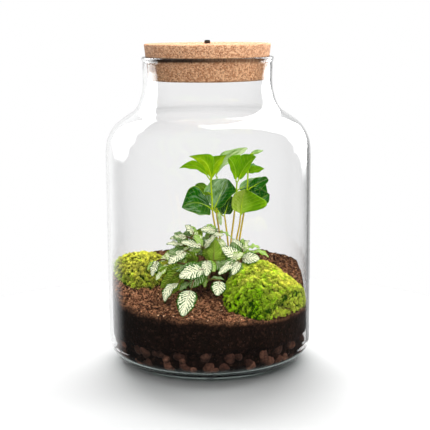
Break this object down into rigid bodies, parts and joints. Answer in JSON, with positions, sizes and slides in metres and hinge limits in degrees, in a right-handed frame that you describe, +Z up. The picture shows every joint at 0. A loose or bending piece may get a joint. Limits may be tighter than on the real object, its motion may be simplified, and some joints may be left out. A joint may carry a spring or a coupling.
{
  "type": "glass plant terrarium",
  "caption": "Closed glass jar garden: straight-sided jar with a tapered cork, clay pebbles, banked soil, moss cushions, a white-veined foliage plant and coffee seedlings.",
  "frame": {"origin": "centre of the jar's foot, on the surface it stands on", "axes": "+Z up along the jar's axis, -Y to the front that the picture shows, +X to its right"},
  "size_m": [0.19, 0.19, 0.2976],
  "materials": {
    "glass": "clear, polished",
    "cork": "agglomerated cork, matt",
    "stud": "glossy black",
    "soil": "crumbly fibrous potting soil",
    "clay": "rough fired clay, matt",
    "moss": "soft living moss",
    "coffee_plant": "glossy waxy leaves, tan stems",
    "nerve_plant": "satin leaves, white with green veins"
  },
  "bodies": {
    "root": {"jar": "glass", "cork_lid": "cork", "lid_stud": "stud", "soil": "soil", "clay_pebbles": "clay", "moss_right": "moss", "moss_left": "moss", "coffee_1": "coffee_plant", "coffee_2": "coffee_plant", "coffee_3": "coffee_plant", "coffee_4": "coffee_plant", "coffee_5": "coffee_plant", "coffee_6": "coffee_plant", "nerve_plant_front": "nerve_plant", "nerve_plant_left": "nerve_plant", "nerve_plant_middle": "nerve_plant", "nerve_plant_top": "nerve_plant", "nerve_plant_crown": "nerve_plant", "nerve_plant_right": "nerve_plant", "nerve_plant_right_back": "nerve_plant", "nerve_plant_back": "nerve_plant"}
  },
  "joints": []
}
